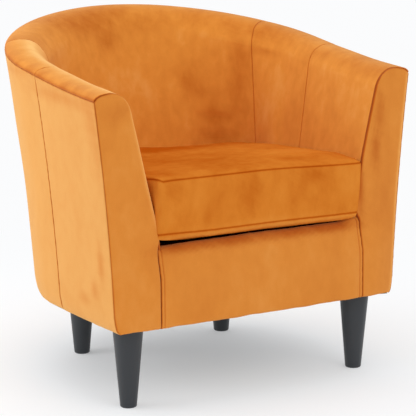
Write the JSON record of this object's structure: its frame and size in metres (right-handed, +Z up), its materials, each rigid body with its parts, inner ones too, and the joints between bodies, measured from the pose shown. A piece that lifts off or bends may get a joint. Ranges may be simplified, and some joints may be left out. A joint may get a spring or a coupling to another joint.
{
  "type": "upholstered tub chair",
  "caption": "Low tub chair in orange velvet with a flared padded wall, a loose box cushion and tapered dark legs.",
  "frame": {"origin": "on the floor under the middle of the chair's overall box", "axes": "+Z up, the front of the chair faces -Y, +X to the right as seen from the front"},
  "size_m": [0.703, 0.656, 0.6963],
  "materials": {
    "velvet": "matte",
    "velvet_deck": "matte",
    "foam": "matte",
    "timber": "matte",
    "hardboard": "matte",
    "black_leg": "satin",
    "steel": "satin",
    "black_cloth": "matte",
    "deck_cloth": "matte"
  },
  "bodies": {
    "chair": {"inside_arm_cover_left": "velvet", "inside_wing_cover_left": "velvet", "outside_arm_cover_left": "velvet", "arm_facing_left": "velvet", "arm_front_board_left": "timber", "side_rail_left": "timber", "top_rail_left": "timber", "side_post_left": "timber", "back_post_left": "timber", "inner_lining_left": "hardboard", "arm_foam_left": "foam", "leg_front_left": "black_leg", "leg_bolt_front_left": "steel", "leg_nut_front_left": "steel", "leg_block_front_left": "timber", "leg_rear_left": "black_leg", "leg_bolt_rear_left": "steel", "leg_nut_rear_left": "steel", "leg_block_rear_left": "timber", "inside_arm_cover_right": "velvet", "inside_wing_cover_right": "velvet", "outside_arm_cover_right": "velvet", "arm_facing_right": "velvet", "arm_front_board_right": "timber", "side_rail_right": "timber", "top_rail_right": "timber", "side_post_right": "timber", "back_post_right": "timber", "inner_lining_right": "hardboard", "arm_foam_right": "foam", "leg_front_right": "black_leg", "leg_bolt_front_right": "steel", "leg_nut_front_right": "steel", "leg_block_front_right": "timber", "leg_rear_right": "black_leg", "leg_bolt_rear_right": "steel", "leg_nut_rear_right": "steel", "leg_block_rear_right": "timber", "inside_back_cover": "velvet", "outside_back_cover": "velvet", "back_rail_curved": "timber", "top_rail_back": "timber", "inner_lining_back": "hardboard", "back_foam": "foam", "front_border_cover": "velvet", "front_border_pad": "foam", "front_rail": "timber", "rear_rail": "timber", "deck_cover": "velvet_deck", "deck_pad": "foam", "deck_cloth": "deck_cloth", "dust_cover": "black_cloth", "seat_spring_1": "steel", "seat_spring_2": "steel", "seat_spring_3": "steel", "seat_spring_4": "steel"},
    "seat_cushion": {"cushion_core": "foam", "cushion_top_panel": "velvet", "cushion_bottom_panel": "velvet", "cushion_boxing": "velvet"}
  },
  "joints": [
    {"name": "cushion_lift", "type": "slide", "parent": "chair", "child": "seat_cushion", "axis": [0, 0, 1], "range_m": [0, 0.43]}
  ]
}
